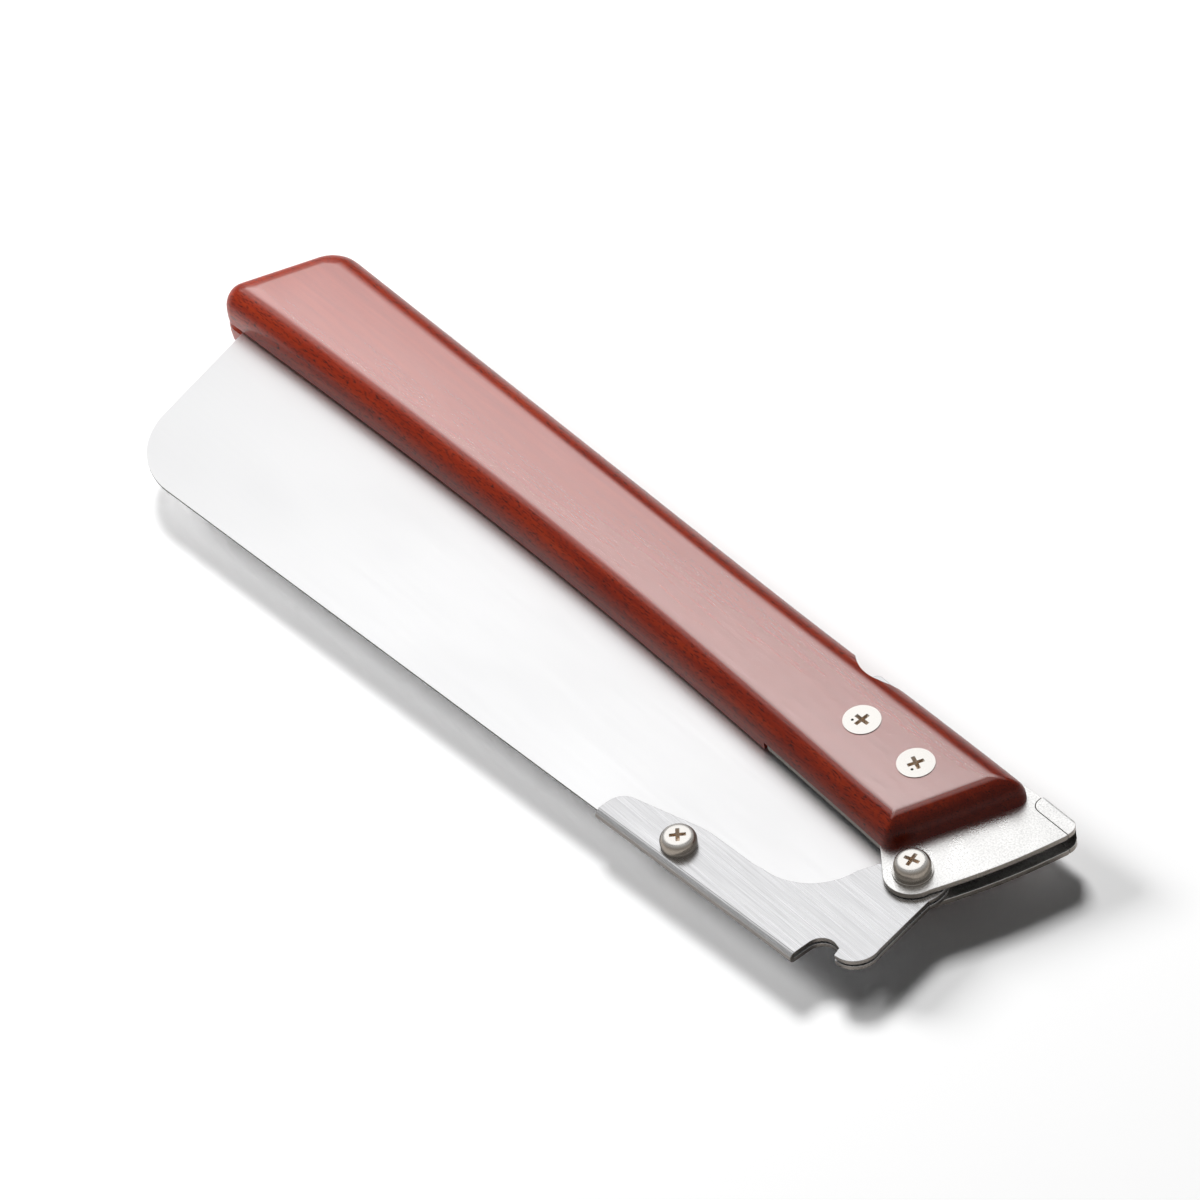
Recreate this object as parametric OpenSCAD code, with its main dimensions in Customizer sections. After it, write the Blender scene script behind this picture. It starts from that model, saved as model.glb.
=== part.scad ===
// Folding single-edge pull saw, shown folded with its blade tucked into the slotted wooden handle.
// X runs along the handle from the butt to the pivot end, Y towards the handle's back, Z up.
// Outlines are drawn about the blade pivot, then the whole saw is shifted so that the origin
// lies in the middle of the handle's flat underside.

/* [Blade] */
// Length of the toothed edge
tooth_len = 240; // [210:5:270]
// Thickness of the blade sheet
blade_t = 0.6; // [0.5:0.05:1]
// Distance from one tooth to the next
tooth_pitch = 1.75; // [1.5:0.05:3]
// Depth of a tooth
tooth_depth = 1.8; // [1:0.1:2.4]
// Distance from the pivot to the first tooth at the heel
heel_gap = 35.4; // [34:0.2:42]
// How far the tooth tips lie behind the pivot line when folded
tooth_y = 10.5; // [8:0.5:13]
// Radius of the rounded corner at the toe
toe_round = 23; // [14:0.5:26]
// Slope of the toe end
toe_slope = 15.2; // [5:0.2:20]
// Distance of the blade's spine from the pivot
spine_d = 36.4; // [35.5:0.1:37]
// Angle of the spine against the handle when folded
spine_tilt = 3.2; // [1:0.1:5]

/* [Blade holder] */
// Thickness of the holder's folded sheet
leaf_t = 1.3; // [1:0.1:1.6]
// Length of the fold that grips the spine
fold_len = 70.3; // [60:0.5:80]
// Radius of the holder's head about the pivot
head_r = 9; // [8:0.1:10]
// Reach of the tail's hook from the pivot
hook_r = 30.9; // [30:0.1:31.2]
// Position of the blade screw along the holder
clamp_x = -48.5; // [-56:0.5:-44]

/* [Handle] */
// Thickness of the wooden handle
handle_thick = 23; // [21:0.5:30]
// Radius of the round edges
edge_round = 7.5; // [4:0.5:9]
// Distance of the handle's back from the pivot line
back_y = 35.2; // [34.6:0.1:36]
// Swelling of the back towards the pivot end
back_flare = 1.2; // [0:0.1:1.4]
// Depth of the waist in the front edge
waist = 3.5; // [0:0.1:5]
// Wood beyond the toe of the folded blade
butt_cover = 7.1; // [5:0.1:20]
// Width of the blade slot
slot_w = 2; // [1.4:0.1:3]
// Depth of the slot past the tooth tips
slot_room = 3.5; // [2:0.5:6]
// Depth of the thumb scoop in the back
scoop_depth = 5.2; // [3:0.1:5.6]

/* [Side plates] */
// Thickness of each side plate
plate_t = 1.6; // [1.2:0.1:2]
// Room on each side of the holder between the plates
side_clear = 0.3; // [0.2:0.05:0.6]
// How far the plates reach into the wood behind the pivot
plate_len = 58; // [56:0.5:62]
// Radius of the plates' rounded end about the pivot
boss_r = 7.5; // [7:0.1:8.5]
// Thickness of the bridge sheet at the back of the stop
bridge_t = 0.8; // [0.6:0.1:1.4]

/* [Lock lever] */
// Distance of the lever's pin behind the pivot
pin_x = -28; // [-32:0.5:-26]
// Height of the lever bar
lever_h = 4.2; // [3.4:0.1:4.6]
// Radius of the lever's pin
pin_r = 2; // [1.5:0.1:2.2]
// Position of the thumb end
thumb_x = -57.5; // [-57.5:0.5:-54]

/* [Screws] */
// Radius of the screw threads
screw_r = 2.5; // [2:0.1:2.6]
// Radius of the flat screw heads
flat_head_r = 4.85; // [4.3:0.05:5.2]
// Radius of the pan screw heads
pan_head_r = 4.7; // [4.3:0.05:5]
// Height of the pan screw heads
pan_head_h = 2.8; // [2:0.1:3.4]
// Position of the front handle screw along the handle
screw_x1 = -20.3; // [-21:0.1:-19]
// Position of the rear handle screw along the handle
screw_x2 = -40.6; // [-42:0.1:-39]
// Distance of the handle screws behind the pivot line
screw_y = 19.4; // [18.5:0.1:20]

/* [Hidden] */

// Running room of a turning fit, and room round a screw
fit = 0.05;
// Room between faces that pass each other
pass = 0.3;
mid_z = handle_thick / 2;
holder_t = 2 * leaf_t + blade_t;
gap = holder_t + 2 * side_clear;
plates_w = gap + 2 * plate_t;
cheek = (handle_thick - plates_w) / 2;
round_r = min(edge_round, cheek - 0.3);
up_in = mid_z + gap / 2;
up_out = up_in + plate_t;
low_in = mid_z - gap / 2;
low_out = low_in - plate_t;
fold_r = leaf_t + blade_t / 2;

// How far cutting shapes reach past what they cut
past = 20;
// Ends of the wood along the handle, and the mean place of its front edge
butt_x = -(heel_gap + tooth_len + butt_cover);
wood_end = 2.6;
front_mean = 0.8;
// The pivot sits here in the finished frame
pivot_pos = [-(butt_x + wood_end) / 2, -(back_y + front_mean) / 2, 0];

// The blade's spine, a straight line seen in plan
function spine_y(x) = -spine_d / cos(spine_tilt) + x * tan(spine_tilt);
// Points along an arc
function arc(c, r, a0, a1, n) = [for (i = [0 : n]) c + r * [cos(a0 + (a1 - a0) * i / n),
                                                        sin(a0 + (a1 - a0) * i / n)]];
// A soft step from 0 to 1
function step(t) = t <= 0 ? 0 : t >= 1 ? 1 : t * t * (3 - 2 * t);

// Front and back edges of the wooden handle
front_y = -0.3;
wood_front = -11.7;
waist_from = butt_x + 7.5;
flare_len = 95;
function front_edge(x) = front_y
    + waist * max(0, sin(180 * (x - waist_from) / (wood_front - waist_from)));
function back_edge(x) = back_y + back_flare * step(1 + x / flare_len);

// A round corner of the wood, drawn in by s: past its own radius it becomes a mitre
corner_min = 0.8;
function corner(c, r, a0, a1, n, s) =
    let (rr = max(r - s, corner_min), m = (a0 + a1) / 2, back = (rr - r + s) / cos((a1 - a0) / 2))
    arc(c - back * [cos(m), sin(m)], rr, a0, a1, n);
end_lean = -19.7;
butt_lean = 158.3;
end_front_r = 3.8;
end_back_r = 3.3;
butt_back_r = 10.5;
butt_tip_r = 5.7;
end_front = [wood_front, front_y + end_front_r];
end_back = [wood_end - end_back_r + 0.1, back_edge(0) - end_back_r];
butt_run = 11.8;
// The round edge is a little steeper over the pivot end than along the sides
end_ease = 0.12;
function eased(points, s) = [for (p = points) p + [end_ease * s, 0]];
butt_tip = [butt_x + butt_tip_r, front_y + butt_tip_r];
butt_back = [butt_tip[0] + butt_run, back_y - butt_back_r];
run_n = 22;

// Plan outline of the wood drawn in by s, anticlockwise from the front corner of the pivot end
function wood_outline(s) =
    let (p = eased(corner(end_front, end_front_r, -90, end_lean, 4, s), s),
         q = eased(corner(end_back, end_back_r, end_lean, 90, 5, s), s),
         v = corner(butt_back, butt_back_r, 90, butt_lean, 6, s),
         w = corner(butt_tip, butt_tip_r, butt_lean, 270, 7, s),
         back_from = q[5][0], back_to = v[0][0], front_from = w[7][0], front_to = p[0][0])
    concat(p, q,
        [for (i = [1 : run_n - 1]) let (x = back_from + (back_to - back_from) * i / run_n)
            [x, back_edge(x) - s]],
        v, w,
        [for (i = [1 : run_n - 1]) let (x = front_from + (front_to - front_from) * i / run_n)
            [x, front_edge(x) + s]]);

// Rounded wooden block: the outline stacked in rings that draw in over the round edges
ring_n = 7;
function ring(k, side) =
    let (s = round_r * (1 - sin(90 * k / ring_n)), h = round_r * (1 - cos(90 * k / ring_n)))
    [for (p = wood_outline(s)) [p[0], p[1], side > 0 ? handle_thick - h : h]];
// Flat caps are strips between the points along the back and those along the front
cap_from = 5;
function back_pt(i) = cap_from + i;
function front_pt(i, n) = (cap_from - 1 - i + n) % n;
module rounded_block() {
    rings = concat([for (k = [0 : ring_n]) ring(k, -1)], [for (k = [ring_n : -1 : 0]) ring(k, 1)]);
    n = len(rings[0]);
    last = (len(rings) - 1) * n;
    polyhedron(
        points = [for (q = rings) each q],
        faces = concat(
            [for (i = [0 : n / 2 - 2])
                let (a = back_pt(i), b = back_pt(i + 1), c = front_pt(i + 1, n), d = front_pt(i, n))
                each [[a, b, c], [a, c, d],
                      [last + a, last + c, last + b], [last + a, last + d, last + c]]],
            [for (k = [0 : len(rings) - 2]) for (i = [0 : n - 1])
                let (a = k * n + i, b = k * n + (i + 1) % n)
                each [[a, a + n, b + n], [a, b + n, b]]]),
        convexity = 6);
}

// The thumb scoop in the back, which bares the end of the lock lever
thumb_end = max(thumb_x, 0.5 - plate_len);
thumb_room = 5.3;
scoop_from = thumb_end - thumb_room;
scoop_len = 21;
scoop_n = 16;
scoop_lip = 0.2;
function scoop_y(u, deeper) = back_edge(scoop_from + scoop_len * u) + scoop_lip - deeper
    - scoop_depth * sin(180 * u);
module scoop_area(deeper) {
    polygon(concat(
        [for (i = [0 : scoop_n]) [scoop_from + scoop_len * i / scoop_n, scoop_y(i / scoop_n, deeper)]],
        [[scoop_from + scoop_len, back_y + past], [scoop_from, back_y + past]]));
}

// Shifts a piece drawn about the pivot into the finished frame
module place() {
    translate(pivot_pos) children();
}
// A round bar standing on Z
module peg(p, r, z0, z1) {
    translate([p[0], p[1], z0]) cylinder(r = r, h = z1 - z0, $fn = 64);
}
// A round ring standing on Z
module collar(p, r_out, r_in, z0, z1) {
    difference() {
        peg(p, r_out, z0, z1);
        peg(p, r_in, z0 - 1, z1 + 1);
    }
}
// A sheet cut from a plan shape
module sheet(z0, t) {
    translate([0, 0, z0]) linear_extrude(height = t) children();
}

screw_1 = [screw_x1, screw_y];
screw_2 = [screw_x2, screw_y];
head_cone = flat_head_r - screw_r;
sleeve_r = 3.4;
clamp_in = 5;
clamp_at = [clamp_x, spine_y(clamp_x) + clamp_in];
pin_at = [pin_x, back_y - 1.7];
spring_pin_r = 1.5;
spring_at = [thumb_end + 11.5, screw_y + 6.8];
inlet_room = 0.3;

module handle() {
    place() color([0.55, 0.16, 0.09]) difference() {
        rounded_block();
        // slot for the blade, open along the front and through the butt
        translate([butt_x - past, front_y - past, mid_z - slot_w / 2])
            cube([past - plate_len - butt_x, past + tooth_y + slot_room - front_y, slot_w]);
        // fork that takes the side plates, open to the front and to the back
        translate([-plate_len - inlet_room, front_y - past, low_out])
            cube([plate_len + past, back_y + 2 * past, plates_w]);
        sheet(-1, handle_thick + 2) scoop_area(0);
        for (p = [screw_1, screw_2]) {
            peg(p, screw_r + fit, mid_z, handle_thick + 1);
            peg(p, sleeve_r, -1, mid_z);
            translate([p[0], p[1], handle_thick - head_cone])
                cylinder(r1 = screw_r, r2 = flat_head_r + 1, h = head_cone + 1, $fn = 64);
            translate([p[0], p[1], -1])
                cylinder(r1 = flat_head_r + 1, r2 = screw_r, h = head_cone + 1, $fn = 64);
        }
    }
}

// Side plates: a boss round the pivot, a slanting outer end and a straight back
inlet_r = 1.5;
lip_in = 0.05;
// The stop bridge lies just behind the opened spine, with a round-ended tab on each plate
stop_gap = 0.06;
bridge_in = spine_d + fold_r + stop_gap;
bridge_back = bridge_in + bridge_t;
bend_r = 0.8;
plate_back = bridge_back - bend_r;
tab_x = 4.3;
tab_h = 4.3;
tab_low = bridge_back - tab_h;
tab_r = 2.5;
tab_c = [tab_x + tab_r, tab_low + tab_r];
tab_gap = 0.1;
// The plates' slanting end bows out a little between the boss and the tab
end_low = [boss_r - 0.1, -1.2];
end_high = [17.8, tab_low - 0.8];
end_bow = 1;
corner_r = 3.4;
function end_edge(u) = end_low + (end_high - end_low) * u + [end_bow * sin(180 * u), 0];

module plate_area() {
    difference() {
        union() {
            polygon(concat(
                arc([inlet_r - plate_len, front_edge(inlet_r - plate_len) + inlet_r + lip_in],
                    inlet_r, 180, 270, 5),
                [for (x = [-48 : 9 : -12]) [x, front_edge(x) + lip_in]],
                [[-5.5, -5.2], [0, 0]],
                [for (i = [0 : 8]) end_edge(i / 8)],
                [[end_high[0], tab_low - tab_gap]],
                arc(tab_c, tab_r + tab_gap, 270, 180, 5),
                [[tab_x - tab_gap, plate_back], [-plate_len, back_y + 0.3]]));
            circle(r = boss_r, $fn = 72);
        }
        scoop_area(pass);
        circle(r = screw_r + fit, $fn = 64);
        for (p = [screw_1, screw_2]) translate(p) circle(r = screw_r + fit, $fn = 64);
        translate(pin_at) circle(r = pin_r, $fn = 64);
        translate(spring_at) circle(r = spring_pin_r, $fn = 48);
    }
}

module upper_plate() {
    place() color([0.82, 0.83, 0.84]) sheet(up_in, plate_t) plate_area();
}
module lower_plate() {
    place() color([0.82, 0.83, 0.84]) sheet(low_out, plate_t) plate_area();
}

// Bridge at the corner: one sheet bent round the backs of both plates, which stops the opened holder
module flange_area() {
    polygon(concat(
        arc(tab_c, tab_r, 180, 270, 5),
        [[end_high[0], tab_low]],
        arc([end_high[0] - corner_r, bridge_back - corner_r], corner_r, 0, 90, 6),
        [[tab_x, bridge_back]]));
}
// Its section across the handle: two tabs and a back, with round bends
module bridge_section() {
    polygon(concat(
        [[tab_low - 1, up_in], [tab_low - 1, up_out]],
        arc([bridge_back - bend_r, up_out - bend_r], bend_r, 90, 0, 4),
        arc([bridge_back - bend_r, low_out + bend_r], bend_r, 0, -90, 4),
        [[tab_low - 1, low_out], [tab_low - 1, low_in], [bridge_in, low_in], [bridge_in, up_in]]));
}
module stop_bridge() {
    place() color([0.82, 0.83, 0.84]) intersection() {
        sheet(low_out - 1, plates_w + 2) flange_area();
        translate([tab_x - 1, 0, 0]) rotate([90, 0, 90]) linear_extrude(height = past) bridge_section();
    }
}

// Blade holder: one sheet folded over the spine, with a neck to the pivot and a hooked tail
fold_end = -1.9;
nose_x = fold_end - fold_len;
nose_r = 5.2;
nose_c = [nose_x + nose_r, spine_y(nose_x + nose_r) + 3];
cheek_d = 13;
throat_c = [-28.6, -7];
throat_r = 17.6;
tail_dir = -76.6;
tail_round = 6.7;
tail_c = (hook_r - tail_round) * [cos(tail_dir), sin(tail_dir)];
notch_r = 4.3;
notch_top = -27.5;
notch_c = [2.4, notch_top - notch_r];
spur_x = 4.7;

module leaf_area() {
    difference() {
        union() {
            polygon(concat(
                [[fold_end, spine_y(fold_end)], [nose_x, spine_y(nose_x)]],
                arc(nose_c, nose_r, 180, 107, 7),
                [[clamp_x - 1, spine_y(clamp_x - 1) + cheek_d - 0.5],
                 [clamp_x + 2.5, spine_y(clamp_x + 2.5) + cheek_d],
                 [throat_c[0] - 2.4, spine_y(throat_c[0] - 2.4) + cheek_d]],
                arc(throat_c, throat_r, -88, -5, 12),
                [[-head_r * 0.97, -2.3], [0, 5], [head_r * 0.96, -2.6]],
                arc(tail_c, tail_round, 20, -88, 12),
                [tail_c + [-0.1, -tail_round], [spur_x, notch_top - 0.4]],
                arc(notch_c, notch_r, 90, 180, 7)));
            circle(r = head_r, $fn = 72);
        }
        circle(r = bush_r + fit, $fn = 72);
        translate(clamp_at) circle(r = screw_r + fit, $fn = 64);
    }
}
// The fold runs along the spine as a U that laps a little onto both leaves
fold_lap = 0.6;
fold_short = 0.2;
module fold() {
    translate([fold_end, spine_y(fold_end), mid_z]) rotate([0, 0, spine_tilt]) rotate([90, 0, -90])
        linear_extrude(height = fold_len / cos(spine_tilt) - fold_short) polygon(concat(
            [[-fold_lap, fold_r]],
            arc([0, 0], fold_r, 90, -90, 18),
            [[-fold_lap, -fold_r], [-fold_lap, -blade_t / 2]],
            arc([0, 0], blade_t / 2, -90, 90, 8),
            [[-fold_lap, blade_t / 2]]));
}
module blade_holder() {
    place() color([0.75, 0.76, 0.78]) {
        sheet(mid_z + blade_t / 2, leaf_t) leaf_area();
        sheet(mid_z - blade_t / 2 - leaf_t, leaf_t) leaf_area();
        fold();
    }
}

// Blade: rounded toe, straight spine, raked pull teeth along the edge that folds into the slot
toe_tip = -heel_gap - tooth_len;
tooth_n = floor(tooth_len / tooth_pitch);
root_y = tooth_y - tooth_depth;
// The round corner's centre lies one radius inside both the toe's end line and the spine
toe_n = [-cos(toe_slope), -sin(toe_slope)];
spine_n = [sin(spine_tilt), -cos(spine_tilt)];
toe_lim = toe_n * [toe_tip, tooth_y] - toe_round;
spine_lim = spine_d - toe_round;
toe_det = toe_n[0] * spine_n[1] - toe_n[1] * spine_n[0];
toe_c = [toe_lim * spine_n[1] - spine_lim * toe_n[1],
         toe_n[0] * spine_lim - spine_n[0] * toe_lim] / toe_det;
tang_x = -7.5;
heel = [-18, root_y];

module blade_area() {
    difference() {
        polygon(concat(
            [[tang_x, spine_y(tang_x)], [tang_x, -4], [-9.2, 1.5], heel],
            [for (i = [0 : tooth_n - 1]) let (x = -heel_gap - i * tooth_pitch)
                each [[x, root_y], [x - 0.25 * tooth_pitch, tooth_y],
                      [x - 0.45 * tooth_pitch, tooth_y - 0.3 * tooth_depth]]],
            [[toe_tip, root_y]],
            arc(toe_c, toe_round, 180 + toe_slope, 270 + spine_tilt, 16)));
        translate(clamp_at) circle(r = screw_r + fit, $fn = 64);
    }
}
module blade() {
    place() color([0.9, 0.91, 0.92]) sheet(mid_z - blade_t / 2, blade_t) blade_area();
}

// Cross recess for a driver, with wings that slope down to its middle
cross_w = 1.05;
cross_len = 4.4;
cross_deep = 2;
cross_slope = (cross_len - cross_w) / 2 / cross_deep;
module cross_recess(p, top, turn) {
    translate([p[0], p[1], top - cross_deep]) intersection() {
        for (a = [turn, turn + 90]) rotate(a)
            translate([-cross_len / 2, -cross_w / 2, 0]) cube([cross_len, cross_w, cross_deep + 1]);
        cylinder(r1 = cross_w / 2, r2 = cross_w / 2 + cross_slope * (cross_deep + 1),
                 h = cross_deep + 1, $fn = 64);
    }
}
// Pan-head screw standing on a face: round flanks, a nearly flat top and a cross recess
crown = 0.72 * pan_head_h;
brim_r = 1.1 * crown;
brim_turn = 58;
edge_cut = 0.2;
module pan_screw(p, seat, tip, turn) {
    rise = pan_head_h - crown;
    difference() {
        union() {
            peg(p, screw_r, tip, seat + 0.1);
            translate([p[0], p[1], seat]) rotate_extrude($fn = 72) polygon(concat(
                [[0, 0], [pan_head_r - edge_cut, 0], [pan_head_r, edge_cut], [pan_head_r, rise]],
                arc([pan_head_r - brim_r, rise], brim_r, 0, brim_turn, 6),
                [[0, pan_head_h]]));
        }
        cross_recess(p, seat + pan_head_h, turn);
    }
}
// Six-sided nut under a face
nut_r = 4.62;
module hex_nut(p, top, h) {
    difference() {
        translate([p[0], p[1], top - h]) cylinder(r = nut_r, h = h, $fn = 6);
        peg(p, screw_r, top - h - 1, top + 1);
    }
}
// Split spring washer
split_w = 0.6;
module split_ring(p, r_out, z0, h, turn) {
    difference() {
        collar(p, r_out, screw_r + fit, z0, z0 + h);
        translate([p[0], p[1], z0 - 1]) rotate(turn)
            translate([0, -split_w / 2, 0]) cube([past, split_w, h + 2]);
    }
}

bush_r = 4;
flat_wash_t = 0.5;
flat_wash_out = 0.45;
spring_wash_t = 1;
washer_in = 0.1;
clamp_top = mid_z + holder_t / 2;
clamp_low = mid_z - holder_t / 2;
nut_h = min(3.6, low_out - 1);
clamp_nut_h = min(3.2, clamp_low - 1);
pivot_seat = up_out + flat_wash_t + spring_wash_t;

module blade_screw() {
    place() color([0.78, 0.78, 0.79])
        pan_screw(clamp_at, clamp_top + spring_wash_t, clamp_low - clamp_nut_h, 52);
}
module blade_washer() {
    place() color([0.7, 0.7, 0.71])
        split_ring(clamp_at, pan_head_r - washer_in, clamp_top, spring_wash_t, 250);
}
module blade_nut() {
    place() color([0.7, 0.7, 0.71]) hex_nut(clamp_at, clamp_low, clamp_nut_h);
}
module pivot_screw() {
    place() color([0.78, 0.78, 0.79]) pan_screw([0, 0], pivot_seat, low_out - nut_h, 18);
}
module pivot_spring_washer() {
    place() color([0.7, 0.7, 0.71])
        split_ring([0, 0], pan_head_r - washer_in, up_out + flat_wash_t, spring_wash_t, 235);
}
module pivot_flat_washer() {
    place() color([0.75, 0.75, 0.76])
        collar([0, 0], pan_head_r + flat_wash_out, screw_r + fit, up_out, up_out + flat_wash_t);
}
module pivot_bushing() {
    place() color([0.72, 0.6, 0.32]) collar([0, 0], bush_r, screw_r + fit, low_in, up_in);
}
module pivot_nut() {
    place() color([0.7, 0.7, 0.71]) hex_nut([0, 0], low_out, nut_h);
}

// Lock lever: a bar between the plates with a thumb end, a pin and a tooth for the tail's notch
lever_t = holder_t;
lever_back = back_y + 2.7;
lever_low = lever_back - lever_h;
lever_tip = min(hook_r + pass, lever_low - 0.5);
lever_nose = 3.2;
nose_in = 0.2;
tooth_front = 1.2;
tooth_rear = -2.4;
tooth_flank = 0.5;
thumb_r = 1.8;
thumb_cut = 1;

lever_boss_r = pin_r + 1.8;
boss_dip = asin((lever_low - pin_at[1]) / lever_boss_r);

module lever_area() {
    difference() {
        polygon(concat(
            [[lever_nose, lever_back], [lever_nose - nose_in, lever_low - pass],
             [tooth_front, lever_tip], [tooth_rear, lever_tip],
             [tooth_rear - tooth_flank, lever_low]],
            arc(pin_at, lever_boss_r, boss_dip, -180 - boss_dip, 12),
            [[thumb_end + 2 * thumb_cut, lever_low], [thumb_end, lever_low + thumb_cut]],
            arc([thumb_end, lever_back] + thumb_r * [1, -1], thumb_r, 180, 90, 5)));
        translate(pin_at) circle(r = pin_r + fit, $fn = 64);
    }
}
module lock_lever() {
    place() color([0.8, 0.81, 0.82]) sheet(mid_z - lever_t / 2, lever_t) lever_area();
}
module lever_pin() {
    place() color([0.7, 0.7, 0.71]) peg(pin_at, pin_r, low_out, up_out);
}

// Loop spring on its own pin: one leg under the lever's thumb end, one against the rear spacer
spring_t = 0.5;
spring_lean = 128;
spring_r = spring_pin_r + fit;
spring_out = spring_r + spring_t;
short_leg = 8;
// The long leg stops just short of the lever's underside
long_leg = (lever_low - pass - spring_at[1] - spring_out * sin(spring_lean + 90)) / sin(spring_lean) - 0.4;
module spring_area() {
    difference() {
        union() {
            circle(r = spring_out, $fn = 48);
            translate([0, -spring_out]) square([short_leg, spring_t]);
            rotate(spring_lean) translate([0, spring_r]) square([long_leg, spring_t]);
        }
        circle(r = spring_r, $fn = 48);
    }
}
module lock_spring() {
    place() color([0.45, 0.46, 0.5])
        sheet(mid_z - lever_t / 2, lever_t) translate(spring_at) spring_area();
}
module spring_pin() {
    place() color([0.7, 0.7, 0.71]) peg(spring_at, spring_pin_r, low_out, up_out);
}

// Flat-head screws from above, sleeve nuts from below, and spacers that hold the plates apart
screw_tip = 2;
// The heads stand a little proud of the wood
head_proud = 0.2;
nut_sink = 0.1;
slot_cut_w = 1.2;
slot_cut_deep = 0.9;
module flat_screw(p, turn) {
    place() color([0.8, 0.8, 0.81]) difference() {
        union() {
            peg(p, screw_r, screw_tip, handle_thick - head_cone + 0.1);
            translate([p[0], p[1], handle_thick - head_cone])
                cylinder(r1 = screw_r, r2 = flat_head_r, h = head_cone, $fn = 64);
            peg(p, flat_head_r, handle_thick, handle_thick + head_proud);
        }
        cross_recess(p, handle_thick + head_proud, turn);
    }
}
module sleeve_nut(p) {
    place() color([0.8, 0.8, 0.81]) difference() {
        union() {
            peg(p, sleeve_r, nut_sink, low_out);
            translate([p[0], p[1], nut_sink])
                cylinder(r1 = flat_head_r - nut_sink, r2 = screw_r, h = head_cone - nut_sink, $fn = 64);
        }
        peg(p, screw_r, screw_tip, low_out + 1);
        translate([p[0], p[1], nut_sink - 1]) rotate(40)
            translate([-past / 2, -slot_cut_w / 2, 0]) cube([past, slot_cut_w, 1 + slot_cut_deep]);
    }
}
module spacer(p) {
    place() color([0.7, 0.7, 0.71]) collar(p, bush_r, screw_r + fit, low_in, up_in);
}

handle();
upper_plate();
lower_plate();
stop_bridge();
blade_holder();
blade();
blade_screw();
blade_washer();
blade_nut();
pivot_screw();
pivot_spring_washer();
pivot_flat_washer();
pivot_bushing();
pivot_nut();
lock_lever();
lever_pin();
lock_spring();
spring_pin();
flat_screw(screw_1, 70);  // front_screw
flat_screw(screw_2, 2);  // rear_screw
sleeve_nut(screw_1);  // front_nut
sleeve_nut(screw_2);  // rear_nut
spacer(screw_1);  // front_spacer
spacer(screw_2);  // rear_spacer
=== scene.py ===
import math

import bmesh
import bpy
from mathutils import Matrix, Vector


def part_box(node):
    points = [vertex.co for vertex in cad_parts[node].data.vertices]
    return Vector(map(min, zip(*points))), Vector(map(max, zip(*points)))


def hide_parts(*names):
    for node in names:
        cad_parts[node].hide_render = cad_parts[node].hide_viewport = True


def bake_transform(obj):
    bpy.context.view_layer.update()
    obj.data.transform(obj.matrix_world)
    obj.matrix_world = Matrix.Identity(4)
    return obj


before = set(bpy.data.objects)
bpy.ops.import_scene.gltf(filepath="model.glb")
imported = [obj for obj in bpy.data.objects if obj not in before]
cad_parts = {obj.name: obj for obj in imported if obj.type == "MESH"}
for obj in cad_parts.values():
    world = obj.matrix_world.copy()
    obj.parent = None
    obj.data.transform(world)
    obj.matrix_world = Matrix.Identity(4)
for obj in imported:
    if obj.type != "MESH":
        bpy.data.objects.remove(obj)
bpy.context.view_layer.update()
scene = bpy.context.scene
MM = 0.001
# The blade pivot in the frame, in millimetres
PIVOT = Vector((139.95, -18.0, 0.0))
# Points closer than this are one
JOIN = 0.002 * MM

# Middles of the screw heads in plan, about the pivot, and the way each punched dot lies from its middle
HEADS = {"front_screw": (-20.3, 19.4), "rear_screw": (-40.6, 19.4), "pivot_screw": (0.0, 0.0),
         "blade_screw": (-48.5, -34.17)}
DOT_WAYS = {"front_screw": -64, "rear_screw": -133}
DOT_REACH = 2.35 * MM
DOT_R = 0.38 * MM
# Reach of the cross recess, and how far below the head's top it counts as recess
RECESS_R = 3.0 * MM
RECESS_DROP = 0.2 * MM


def head_at(screw):
    return (PIVOT + Vector((*HEADS[screw], 0.0))) * MM


def dot_at(screw):
    turn = math.radians(DOT_WAYS[screw])
    return head_at(screw) + DOT_REACH * Vector((math.cos(turn), math.sin(turn), 0))


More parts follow.
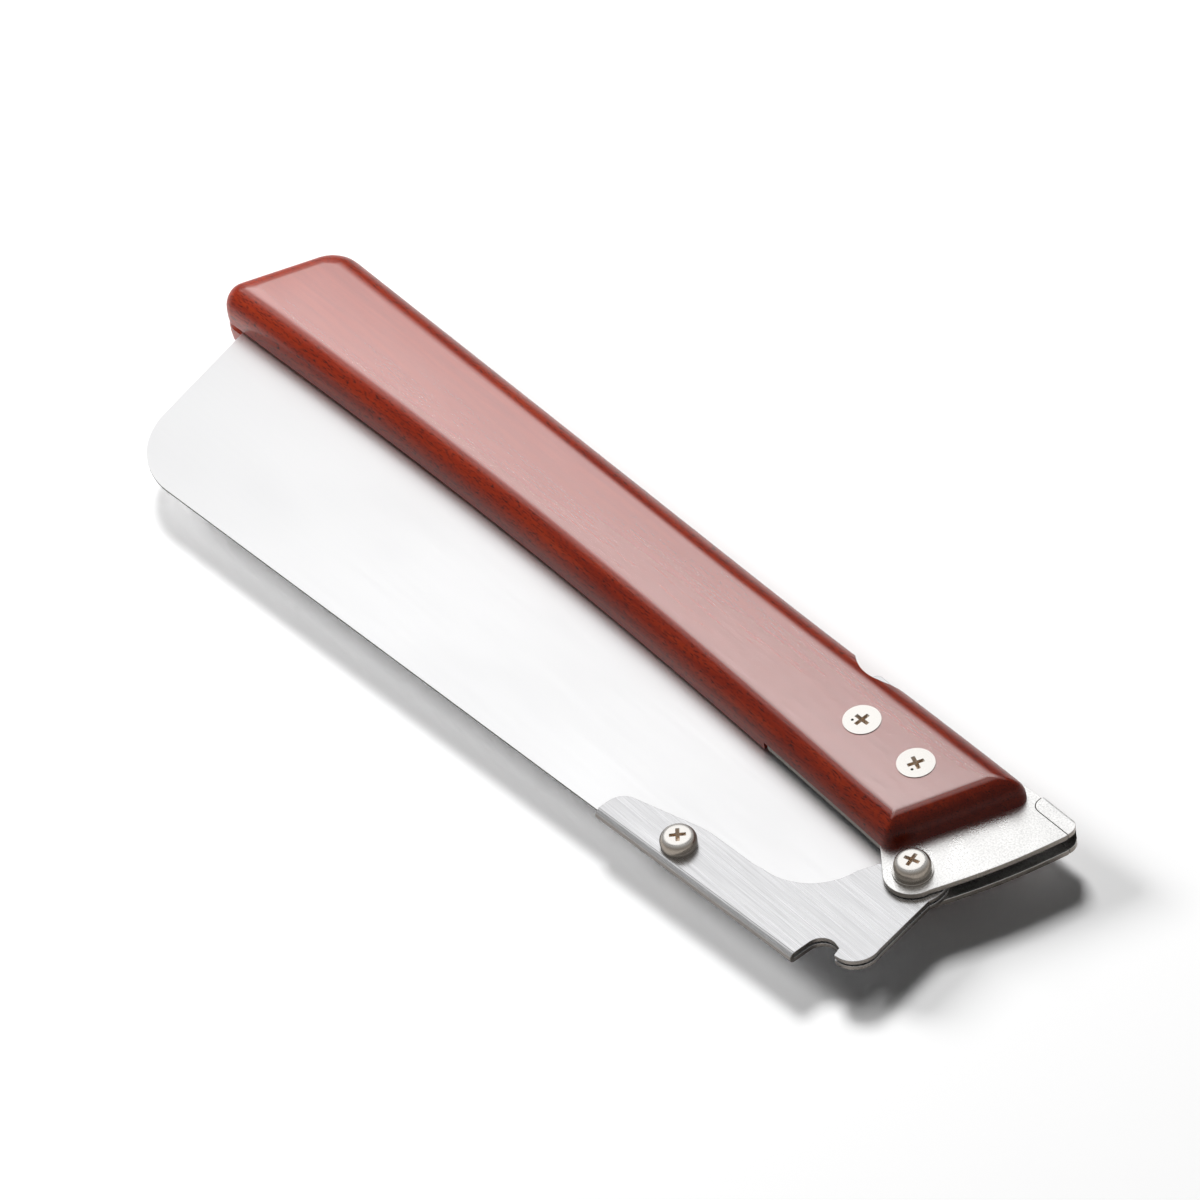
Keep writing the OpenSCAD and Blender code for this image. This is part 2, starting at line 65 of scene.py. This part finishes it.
# One material and short ways to add nodes to it
class Graph:
    def __init__(self, name):
        self.mat = bpy.data.materials.new(name)
        self.mat.use_nodes = True
        self.tree = self.mat.node_tree
        self.tree.nodes.clear()
        self.out = self.add("ShaderNodeOutputMaterial")

    def add(self, kind, **sockets):
        node = self.tree.nodes.new(kind)
        for key, value in sockets.items():
            self.put(node, key, value)
        return node

    # Sockets go by name, or by number as i0, i1 and so on
    def put(self, node, key, value):
        numbered = key[0] == "i" and key[1:].isdigit()
        socket = node.inputs[int(key[1:]) if numbered else key.replace("_", " ")]
        if isinstance(value, bpy.types.NodeSocket):
            self.tree.links.new(value, socket)
        else:
            socket.default_value = value

    def place(self):
        return self.add("ShaderNodeTexCoord").outputs["Object"]

    def coords(self, scale, turn=(0, 0, 0)):
        mapping = self.add("ShaderNodeMapping", Vector=self.place(), Scale=scale, Rotation=turn)
        return mapping.outputs["Vector"]

    def noise(self, vector, scale, detail=3.0, rough=0.55, distort=0.0):
        node = self.add("ShaderNodeTexNoise", Vector=vector, Scale=scale, Detail=detail, Roughness=rough,
                        Distortion=distort)
        return node.outputs["Fac"]

    def ramp(self, fac, *stops):
        node = self.add("ShaderNodeValToRGB", Fac=fac)
        bar = node.color_ramp
        while len(bar.elements) < len(stops):
            bar.elements.new(0.5)
        for element, (pos, colour) in zip(bar.elements, stops):
            element.position = pos
            element.color = colour if isinstance(colour, tuple) else (colour, colour, colour, 1)
        return node.outputs["Color"]

    def mix(self, fac, a, b, mode="MIX"):
        node = self.add("ShaderNodeMix")
        node.data_type = "RGBA"
        node.blend_type = mode
        self.put(node, "i0", fac)
        self.put(node, "i6", a)
        self.put(node, "i7", b)
        return node.outputs[2]

    def math(self, op, a, b):
        node = self.add("ShaderNodeMath", i0=a, i1=b)
        node.operation = op
        return node.outputs[0]

    # Ramp over how squarely a face lies across an axis, either way round
    def facing(self, axis, low, high):
        normal = self.add("ShaderNodeNewGeometry").outputs["Normal"]
        node = self.add("ShaderNodeVectorMath", i0=normal, i1=axis)
        node.operation = "DOT_PRODUCT"
        return self.ramp(self.math("ABSOLUTE", node.outputs["Value"], 0.0), low, high)

    # Painted shade: upright faces of a metal piece are painted darker and browner
    def shade_flanks(self, tint, shaded_share, low=0.35, high=0.85):
        painted_shade = self.mix(1.0, tint, rgb(shaded_share, shaded_share * 0.90, shaded_share * 0.80), "MULTIPLY")
        return self.mix(self.facing((0, 0, 1), (low, 0.0), (high, 1.0)), painted_shade, tint)

    # A value that runs evenly from one place along an axis to another
    def along(self, axis, start, end):
        axes = self.add("ShaderNodeSeparateXYZ", Vector=self.place())
        node = self.add("ShaderNodeMapRange", Value=axes.outputs[axis], From_Min=start[0], From_Max=end[0],
                        To_Min=start[1], To_Max=end[1])
        return node.outputs["Result"]

    # A soft-edged round spot in plan
    def disc(self, centre, radius):
        flat = self.add("ShaderNodeVectorMath", i0=self.place(), i1=(1, 1, 0))
        flat.operation = "MULTIPLY"
        away = self.add("ShaderNodeVectorMath", i0=flat.outputs["Vector"], i1=(centre.x, centre.y, 0))
        away.operation = "DISTANCE"
        return self.ramp(self.math("DIVIDE", away.outputs["Value"], 2 * radius), (0.42, 1.0), (0.55, 0.0))

    def bump(self, height, strength, distance, normal=None):
        node = self.add("ShaderNodeBump", Height=height, Strength=strength, Distance=distance)
        if normal is not None:
            self.put(node, "Normal", normal)
        return node.outputs["Normal"]

    def finish(self, **sockets):
        node = self.add("ShaderNodeBsdfPrincipled", **sockets)
        self.tree.links.new(node.outputs["BSDF"], self.out.inputs["Surface"])
        return self.mat


def rgb(r, g, b):
    return (r, g, b, 1.0)


STAIN_DARK, STAIN_MID, STAIN_PALE = rgb(0.20, 0.013, 0.003), rgb(0.28, 0.023, 0.005), rgb(0.36, 0.037, 0.008)
STAIN_EVEN_AND_HIGHLIGHT = rgb(0.34, 0.031, 0.009)
PORE = rgb(0.035, 0.004, 0.003)
# Ways that the wood's top face and the lacquered part of its long sides turn
TOP_WAY = (0.06, -0.10, 0.993)
SIDE_WAY = (0.0, -0.95, -0.31)
# Half the handle's length, and the front and back of its top face
HALF_LEN = 130 * MM
FACE_FRONT, FACE_BACK = -12 * MM, 14 * MM


# Red-brown stained beech: long grain, short dark flecks, glossy clear coat, a painted highlight on the top
# face and painted shade toward the pivot
def wood():
    g = Graph("stained_beech")
    # The lacquer is rubbed thin over the round edges, less so toward the front and the pivot
    lacquer = g.facing(TOP_WAY, (0.925, 0.025), (0.9945, 1.0))
    along = g.coords((30, 480, 480))
    grain = g.noise(along, 1.0, 5.0, 0.6, 0.4)
    broad = g.noise(g.coords((5, 40, 40)), 1.0, 2.0, 0.5)
    base = g.ramp(grain, (0.25, STAIN_DARK), (0.5, STAIN_MID), (0.75, STAIN_PALE))
    shade = g.ramp(broad, (0.3, rgb(0.82, 0.78, 0.76)), (0.7, rgb(1.0, 1.0, 1.0)))
    base = g.mix(1.0, base, shade, "MULTIPLY")
    fleck = g.noise(g.coords((620, 4800, 4800)), 1.0, 1.0, 0.5)
    fleck = g.ramp(fleck, (0.57, 0.0), (0.65, 1.0))
    # Where the lacquer is full it evens out the grain and paints the top face paler: a painted highlight
    base = g.mix(g.math("MULTIPLY", lacquer, 0.5), base, STAIN_EVEN_AND_HIGHLIGHT)
    # Painted shade: the wood is darkened toward the pivot end
    base = g.mix(1.0, base, g.along("X", (-HALF_LEN, 1.08), (HALF_LEN, 0.70)), "MULTIPLY")
    open_pore = g.math("MULTIPLY", fleck, g.math("SUBTRACT", 1.05, lacquer))
    base = g.mix(open_pore, base, PORE)
    fine = g.noise(along, 3.0, 4.0, 0.7)
    rough = g.ramp(fine, (0.3, 0.30), (0.7, 0.42))
    # The lacquer lies thinner on the hard grain, a little unevenly, and thinner toward the back
    lean = g.ramp(g.noise(g.coords((120, 1500, 1500)), 1.0, 2.0, 0.6), (0.35, 0.94), (0.65, 1.0))
    patch = g.ramp(broad, (0.3, 0.90), (0.65, 1.0))
    lacquer = g.math("MULTIPLY", lacquer, g.math("MULTIPLY", lean, patch))
    lacquer = g.math("MULTIPLY", lacquer, g.along("Y", (FACE_FRONT, 1.0), (FACE_BACK, 0.78)))
    # The long sides keep some of it, the front one most below its middle
    lacquer = g.math("ADD", lacquer, g.facing(SIDE_WAY, (0.66, 0.0), (0.96, 0.26)))
    skin = g.noise(g.coords((60, 60, 60)), 1.0, 2.0, 0.5)
    normal = g.bump(fleck, 0.12, 0.0001)
    normal = g.bump(skin, 0.05, 0.001, normal)
    return g.finish(Base_Color=base, Roughness=rough, Normal=normal, Specular_IOR_Level=0.12,
                    Coat_Weight=lacquer, Coat_Roughness=0.22, Coat_IOR=3.4,
                    Coat_Normal=g.bump(skin, 0.04, 0.001))


# How much of a sheet's colour the painted shade leaves on its cut edges
EDGE_SHADED_SHARE = 0.38


# Sheet with fine lines along one way, given by its turn from the handle
def brushed(name, colour, rough, turn, depth, spread):
    g = Graph(name)
    lines = g.noise(g.coords((40, 4200, 4200), (0, 0, turn)), 1.0, 3.0, 0.75)
    coarse = g.noise(g.coords((30, 2400, 2400), (0, 0, turn)), 1.0, 2.0, 0.6)
    tint = g.ramp(lines, (0.25, rgb(*(c * (1 - spread) for c in colour))), (0.75, rgb(*colour)))
    roughness = g.ramp(coarse, (0.3, rough - 0.05), (0.7, rough + 0.07))
    # Upright faces get painted shade
    return g.finish(Base_Color=g.shade_flanks(tint, EDGE_SHADED_SHARE), Metallic=1.0, Roughness=roughness,
                    Normal=g.bump(lines, depth, 0.0001))


# Sheet with an even, fine-pitted face
def blasted(name, colour, rough, depth):
    g = Graph(name)
    dots = g.noise(g.coords((2000, 2000, 2000)), 1.0, 2.0, 0.7)
    blotch = g.noise(g.coords((90, 90, 90)), 1.0, 2.0, 0.5)
    tint = g.ramp(dots, (0.3, rgb(*(c * 0.74 for c in colour))), (0.6, rgb(*colour)))
    roughness = g.ramp(blotch, (0.3, rough - 0.04), (0.7, rough + 0.05))
    # Upright faces get painted shade
    return g.finish(Base_Color=g.shade_flanks(tint, EDGE_SHADED_SHARE), Metallic=1.0, Roughness=roughness,
                    Normal=g.bump(dots, depth, 0.00012))


# Painted shade that stands for a punched dot's hollow
DOT_SHADE = rgb(0.02, 0.018, 0.016)
RECESS_BROWN = rgb(0.62, 0.50, 0.39)


# Smooth plated or ground metal with painted shade on its upright faces; a screw is named to give its head
# the recess and the punched dot, painted as a dark spot of shade
def polished(name, colour, rough, flank_shade=0.36, screw=None):
    g = Graph(name)
    haze = g.noise(g.coords((40, 700, 700)), 1.0, 3.0, 0.6)
    smear = g.noise(g.coords((14, 30, 30)), 1.0, 2.0, 0.5)
    smeared = g.ramp(smear, (0.4, 0.0), (0.8, 0.04))
    roughness = g.math("ADD", g.ramp(haze, (0.3, rough), (0.7, rough + 0.025)), smeared)
    tint = g.ramp(haze, (0.2, rgb(*(c * 0.98 for c in colour))), (0.8, rgb(*colour)))
    if screw in DOT_WAYS:
        # The punched dot is painted near-black: painted shade in place of a hollow in the head
        tint = g.mix(g.disc(dot_at(screw), DOT_R), tint, DOT_SHADE)
    # Painted shade on the upright faces
    tint = g.shade_flanks(tint, flank_shade, 0.6, 0.96)
    metal = 1.0
    if screw is not None:
        # The cross recess is dull and brown inside
        top = max(v.co.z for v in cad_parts[screw].data.vertices)
        below = g.along("Z", (top - RECESS_DROP, 1.0), (top - RECESS_DROP / 2, 0.0))
        inside = g.math("MULTIPLY", g.disc(head_at(screw), RECESS_R), below)
        tint = g.mix(inside, tint, RECESS_BROWN)
        metal = g.math("SUBTRACT", 1.0, g.math("MULTIPLY", inside, 0.75))
    return g.finish(Base_Color=tint, Metallic=metal, Roughness=roughness, Normal=g.bump(haze, 0.004, 0.0001))


WOOD = wood()
# The blade's upright edges keep little colour under the painted shade
BLADE = polished("bright_blade", (0.84, 0.84, 0.845), 0.37, 0.12)
# The holder's lines follow the blade's spine
SPINE_TILT = math.radians(3.2)
HOLDER = brushed("brushed_holder", (0.69, 0.69, 0.70), 0.28, -SPINE_TILT, 0.12, 0.36)
PLATE = blasted("blasted_plate", (0.80, 0.795, 0.785), 0.29, 0.42)
LEVER = brushed("satin_lever", (0.68, 0.68, 0.69), 0.33, 0.0, 0.08, 0.18)
NICKEL_TINT = (0.69, 0.67, 0.64)
NICKEL = polished("nickel_nut", NICKEL_TINT, 0.24)
WASHER = polished("plated_washer", (0.62, 0.61, 0.59), 0.22)
BRASS = polished("turned_brass", (0.72, 0.50, 0.20), 0.25)
WIRE = polished("blued_wire", (0.20, 0.21, 0.24), 0.30)
# How much colour the painted shade leaves on the upright faces of flat and of pan heads
FLAT_SHADED_SHARE, PAN_SHADED_SHARE = 0.30, 0.46


def head_look(screw):
    return polished(screw, NICKEL_TINT, 0.24, FLAT_SHADED_SHARE if screw in DOT_WAYS else PAN_SHADED_SHARE, screw)


LOOKS = {
    "handle": WOOD, "upper_plate": PLATE, "lower_plate": PLATE, "stop_bridge": PLATE,
    "blade_holder": HOLDER, "blade": BLADE, "blade_washer": WASHER, "blade_nut": WASHER,
    "pivot_spring_washer": WASHER, "pivot_flat_washer": WASHER, "pivot_bushing": BRASS,
    "pivot_nut": WASHER, "lock_lever": LEVER, "lever_pin": WASHER, "lock_spring": WIRE, "spring_pin": WASHER,
    **{screw: head_look(screw) for screw in HEADS},
    "front_nut": NICKEL, "rear_nut": NICKEL, "front_spacer": WASHER, "rear_spacer": WASHER,
}
# Widths of the broken edges, in millimetres
EDGES = {"upper_plate": 0.14, "lower_plate": 0.14, "stop_bridge": 0.12, "blade_holder": 0.12,
         "lock_lever": 0.25, "blade_washer": 0.12, "pivot_spring_washer": 0.12, "pivot_flat_washer": 0.1,
         "blade_nut": 0.2, "pivot_nut": 0.2}
# Degrees past which a corner stays sharp, and up to which faces lie in one plane
SHARP = 38
FLAT = 0.3
EDGE_STEPS = 3
# How much more a large face counts for its corners' normals
FACE_WEIGHT = 60


# Faces are joined, edges broken with a small round, and only sharp corners stay sharp
def dress(obj, material, edge):
    obj.data.materials.clear()
    obj.data.materials.append(material)
    obj.data.shade_smooth()
    weld = obj.modifiers.new("joined", "WELD")
    weld.merge_threshold = JOIN
    if edge:
        # Thin triangles of a flat face would fold over at its rounded edges, so they become one face first
        whole = obj.modifiers.new("whole_faces", "DECIMATE")
        whole.decimate_type = "DISSOLVE"
        whole.angle_limit = math.radians(FLAT)
        bevel = obj.modifiers.new("edge", "BEVEL")
        bevel.width = edge * MM
        bevel.segments = EDGE_STEPS
        bevel.limit_method = "ANGLE"
        bevel.angle_limit = math.radians(SHARP)
        bevel.use_clamp_overlap = False
    split = obj.modifiers.new("corners", "EDGE_SPLIT")
    split.split_angle = math.radians(SHARP)
    split.use_edge_sharp = False
    normals = obj.modifiers.new("flat_faces", "WEIGHTED_NORMAL")
    normals.weight = FACE_WEIGHT


for name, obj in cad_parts.items():
    dress(obj, LOOKS[name], EDGES.get(name))

# The lock spring's long leg, between its coil on the handle and the lever that presses on it, is cut across
# into pieces
LEG_LEAN = math.radians(128)
COIL_REACH = 2.4 * MM
LEG_CUTS = 8
leg_way = Vector((math.cos(LEG_LEAN), math.sin(LEG_LEAN), 0))
pin_low, pin_high = (Vector(corner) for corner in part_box("spring_pin"))
coil = (pin_low + pin_high) / 2
rest_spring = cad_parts["lock_spring"]
leaf = bmesh.new()
leaf.from_mesh(rest_spring.data)
leaf.transform(rest_spring.matrix_world)
bmesh.ops.remove_doubles(leaf, verts=leaf.verts, dist=JOIN)
leg_root = coil + leg_way * COIL_REACH
leg_tip = coil + leg_way * max((v.co - coil).dot(leg_way) for v in leaf.verts)
for k in range(LEG_CUTS):
    bmesh.ops.bisect_plane(leaf, geom=leaf.verts[:] + leaf.edges[:] + leaf.faces[:],
                           plane_co=leg_root.lerp(leg_tip, k / LEG_CUTS), plane_no=leg_way)
leaf_mesh = bpy.data.meshes.new("bending_spring")
leaf.to_mesh(leaf_mesh)
leaf.free()
spring = bpy.data.objects.new("bending_spring", leaf_mesh)
scene.collection.objects.link(spring)
dress(spring, WIRE, None)
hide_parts("lock_spring")
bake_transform(spring)

# Camera as in the photo: its place about the pivot, how it is turned, and a long lens
EYE = Vector((918.8, -661.94, 1283.98))
AZ, EL, ROLL = (math.radians(v) for v in (57.4871, 45.7013, -9.2595))
LENS, SENSOR = 210, 36
CLIP_NEAR, CLIP_FAR = 0.1, 20
back = Vector((math.sin(AZ) * math.cos(EL), -math.cos(AZ) * math.cos(EL), math.sin(EL)))
right = Vector((math.cos(AZ), math.sin(AZ), 0))
up = back.cross(right)
right_r = math.cos(ROLL) * right + math.sin(ROLL) * up
up_r = -math.sin(ROLL) * right + math.cos(ROLL) * up
eye = (EYE + PIVOT) * MM
cam_data = bpy.data.cameras.new("photo_camera")
cam_data.lens = LENS
cam_data.sensor_width = SENSOR
cam_data.clip_start = CLIP_NEAR
cam_data.clip_end = CLIP_FAR
cam = bpy.data.objects.new("photo_camera", cam_data)
scene.collection.objects.link(cam)
cam.matrix_world = Matrix((
    (right_r.x, up_r.x, back.x, eye.x),
    (right_r.y, up_r.y, back.y, eye.y),
    (right_r.z, up_r.z, back.z, eye.z),
    (0, 0, 0, 1)))
scene.camera = cam


# Floor, mirrored card, lamps and sky, in metres
FLOOR_SIZE, FLOOR_DROP = 8, 0.0002
# The floor turns plain white between these distances from the middle
SHADOW_END, PLAIN_FROM = 0.26, 0.75
LAMP_AIM = (0.05, 0, 0)
CARD_SIZE, CARD_AWAY, CARD_GLOW = 1.4, 1.3, 1.55
CARD_EL = math.radians(56)
CARD_AIM = (0, 0, 0.02)
# The sky: white up to one height, greyer from the next, and dim as a light
SKY_WHITE_TO, SKY_GREY_FROM, SKY_GREY, SKY_LIGHT = 0.06, 0.25, 0.56, 0.06
WHITE = rgb(1.0, 1.0, 1.0)


# A flat sheet that belongs to the stage; with an aim it faces that point
def panel(name, size, loc, aim, material):
    w, h = size[0] / 2, size[1] / 2
    mesh = bpy.data.meshes.new(name)
    mesh.from_pydata([(-w, -h, 0), (w, -h, 0), (w, h, 0), (-w, h, 0)], [], [(0, 1, 2, 3)])
    mesh.materials.append(material)
    obj = bpy.data.objects.new(name, mesh)
    scene.collection.objects.link(obj)
    obj.location = loc
    if aim is not None:
        obj.rotation_mode = "QUATERNION"
        obj.rotation_quaternion = (Vector(aim) - Vector(loc)).to_track_quat("Z", "Y")
    return obj


# A white glow that fades from the middle of its panel
def softbox_glow(name, strength, inner, outer):
    g = Graph(name)
    tex = g.add("ShaderNodeTexCoord")
    shift = g.add("ShaderNodeMapping", Vector=tex.outputs["Generated"], Location=(-1, -1, 0),
                  Scale=(2, 2, 0))
    length = g.add("ShaderNodeVectorMath", i0=shift.outputs["Vector"])
    length.operation = "LENGTH"
    fade = g.ramp(length.outputs["Value"], (inner, 1.0), (outer, 0.0))
    glow = g.add("ShaderNodeEmission", Color=WHITE, Strength=g.math("MULTIPLY", fade, strength))
    g.tree.links.new(glow.outputs["Emission"], g.out.inputs["Surface"])
    return g.mat


# Pale paper, white where it is seen straight, in a reflection or through something clear,
# and plain white farther off than the shadow reaches
def paper_look():
    g = Graph("white_floor")
    ray = g.add("ShaderNodeLightPath").outputs
    seen = g.math("MAXIMUM", ray["Is Glossy Ray"], ray["Is Transmission Ray"])
    seen = g.math("MAXIMUM", ray["Is Camera Ray"], seen)
    fibre = g.noise(g.coords((300, 300, 300)), 1.0, 2.0, 0.5)
    paper = g.ramp(fibre, (0.3, rgb(0.90, 0.90, 0.90)), (0.7, rgb(0.92, 0.92, 0.92)))
    lit = g.add("ShaderNodeBsdfDiffuse", Color=g.mix(seen, paper, WHITE))
    away = g.add("ShaderNodeVectorMath", i0=g.place())
    away.operation = "LENGTH"
    far = g.ramp(away.outputs["Value"], (SHADOW_END, 0.0), (PLAIN_FROM, 1.0))
    plain = g.add("ShaderNodeEmission", Color=WHITE, Strength=1.0)
    both = g.add("ShaderNodeMixShader", i0=g.math("MULTIPLY", seen, far), i1=lit.outputs["BSDF"],
                 i2=plain.outputs["Emission"])
    g.tree.links.new(both.outputs["Shader"], g.out.inputs["Surface"])
    return g.mat


panel("floor", (FLOOR_SIZE, FLOOR_SIZE), (0, 0, -FLOOR_DROP), None, paper_look())


def lamp(name, loc, size, power):
    data = bpy.data.lights.new(name, "AREA")
    data.shape = "SQUARE"
    data.size = size
    data.energy = power
    obj = bpy.data.objects.new(name, data)
    scene.collection.objects.link(obj)
    obj.location = loc
    obj.rotation_mode = "QUATERNION"
    obj.rotation_quaternion = (Vector(LAMP_AIM) - Vector(loc)).to_track_quat("-Z", "Y")
    obj.visible_glossy = False


# Key from behind, fill from the left; a separate card is what the glossy faces mirror
lamp("key_light", (-1.20, 0.76, 2.10), 0.7, 51)
lamp("fill_light", (-1.65, -0.72, 1.26), 0.8, 37)
card_at = Vector((-math.sin(AZ) * math.cos(CARD_EL), math.cos(AZ) * math.cos(CARD_EL), math.sin(CARD_EL)))
card = panel("mirror_card", (CARD_SIZE, CARD_SIZE), CARD_AWAY * card_at, CARD_AIM,
             softbox_glow("card_glow", CARD_GLOW, 0.65, 1.1))
card.visible_camera = False
card.visible_diffuse = False
card.visible_shadow = False

world = bpy.data.worlds.new("studio")
world.use_nodes = True
scene.world = world
sky = world.node_tree
sky_ray, sky_way, sky_height, sky_fade, sky_glossy, sky_seen, sky_mix = (
    sky.nodes.new("ShaderNode" + kind)
    for kind in ("LightPath", "TexCoord", "SeparateXYZ", "ValToRGB", "Math", "Math", "Mix"))
sky_stops = sky_fade.color_ramp.elements
sky_stops[0].position, sky_stops[0].color = SKY_WHITE_TO, WHITE
sky_stops[1].position, sky_stops[1].color = SKY_GREY_FROM, rgb(SKY_GREY, SKY_GREY, SKY_GREY)
sky_glossy.operation = sky_seen.operation = "MAXIMUM"
sky_mix.inputs[2].default_value = SKY_LIGHT
background = sky.nodes["Background"].inputs
background["Color"].default_value = WHITE
for source, target in (
        (sky_way.outputs["Generated"], sky_height.inputs["Vector"]),
        (sky_height.outputs["Z"], sky_fade.inputs["Fac"]),
        (sky_fade.outputs["Color"], sky_mix.inputs[3]),
        (sky_ray.outputs["Is Glossy Ray"], sky_glossy.inputs[0]),
        (sky_ray.outputs["Is Transmission Ray"], sky_glossy.inputs[1]),
        (sky_ray.outputs["Is Camera Ray"], sky_seen.inputs[0]),
        (sky_glossy.outputs[0], sky_seen.inputs[1]),
        (sky_seen.outputs[0], sky_mix.inputs[0]),
        (sky_mix.outputs[0], background["Strength"])):
    sky.links.new(source, target)

scene.view_settings.view_transform = "Standard"
